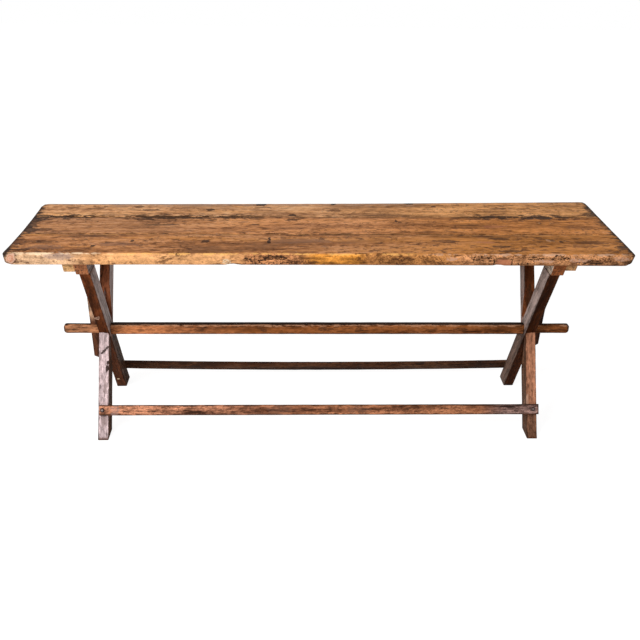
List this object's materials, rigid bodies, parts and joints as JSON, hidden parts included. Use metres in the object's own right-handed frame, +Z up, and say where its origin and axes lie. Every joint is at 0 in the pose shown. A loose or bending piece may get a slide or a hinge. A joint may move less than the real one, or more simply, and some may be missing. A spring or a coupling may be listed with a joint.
{
  "type": "trestle table",
  "caption": "Worn plank-topped trestle table whose crossed-leg base folds about a keyed middle rail once the loose top is lifted off.",
  "frame": {"origin": "on the floor, under the middle of the top", "axes": "+X along the table to the right, +Y from the front edge to the back, +Z up through the top"},
  "size_m": [2.14, 0.5826, 0.76],
  "materials": {
    "top_wood": "worn, waxed honey-brown softwood",
    "batten_wood": "orange-brown waxed softwood",
    "cleat_wood": "pale tan softwood",
    "leg_wood": "dark brown worn softwood",
    "rail_wood": "reddish-brown worn softwood",
    "key_wood": "dark brown wood",
    "peg_wood": "end grain of wooden pegs",
    "nail_iron": "rusted black forged iron"
  },
  "bodies": {
    "middle_rail": {"middle_rail": "rail_wood"},
    "tabletop": {"top_board_front": "top_wood", "top_board_middle": "top_wood", "top_board_rear": "top_wood", "head_batten_left": "batten_wood", "cleat_left": "cleat_wood", "batten_pegs_left": "peg_wood", "cleat_pegs_left": "peg_wood", "head_batten_right": "batten_wood", "cleat_right": "cleat_wood", "batten_pegs_right": "peg_wood", "cleat_pegs_right": "peg_wood"},
    "front_frame": {"front_leg_left": "leg_wood", "front_leg_right": "leg_wood", "front_foot_rail": "rail_wood", "front_rail_nails": "nail_iron"},
    "rear_frame": {"rear_leg_left": "leg_wood", "rear_leg_right": "leg_wood", "rear_foot_rail": "rail_wood", "rear_rail_nails": "nail_iron", "leg_plug": "peg_wood"},
    "key_left": {"key_left": "key_wood"},
    "key_right": {"key_right": "key_wood"}
  },
  "joints": [
    {"name": "top_lift", "type": "slide", "parent": "middle_rail", "child": "tabletop", "axis": [0, 0, 1], "range_m": [0, 0.25]},
    {"name": "front_frame_fold", "type": "hinge", "parent": "middle_rail", "child": "front_frame", "pos_m": [0, -0.0175, 0.35], "axis": [1, 0, 0], "range_deg": [0, 18]},
    {"name": "rear_frame_fold", "type": "hinge", "parent": "middle_rail", "child": "rear_frame", "pos_m": [0, -0.0175, 0.35], "axis": [1, 0, 0], "range_deg": [-18, 0]},
    {"name": "key_left_draw", "type": "slide", "parent": "middle_rail", "child": "key_left", "axis": [0, 0, 1], "range_m": [0, 0.14]},
    {"name": "key_right_draw", "type": "slide", "parent": "middle_rail", "child": "key_right", "axis": [0, 0, 1], "range_m": [0, 0.09]}
  ],
  "couplings": [
    {"joint": "front_frame_fold", "follows": "top_lift", "rad_per_m": 1.2566},
    {"joint": "rear_frame_fold", "follows": "top_lift", "rad_per_m": -1.2566}
  ]
}
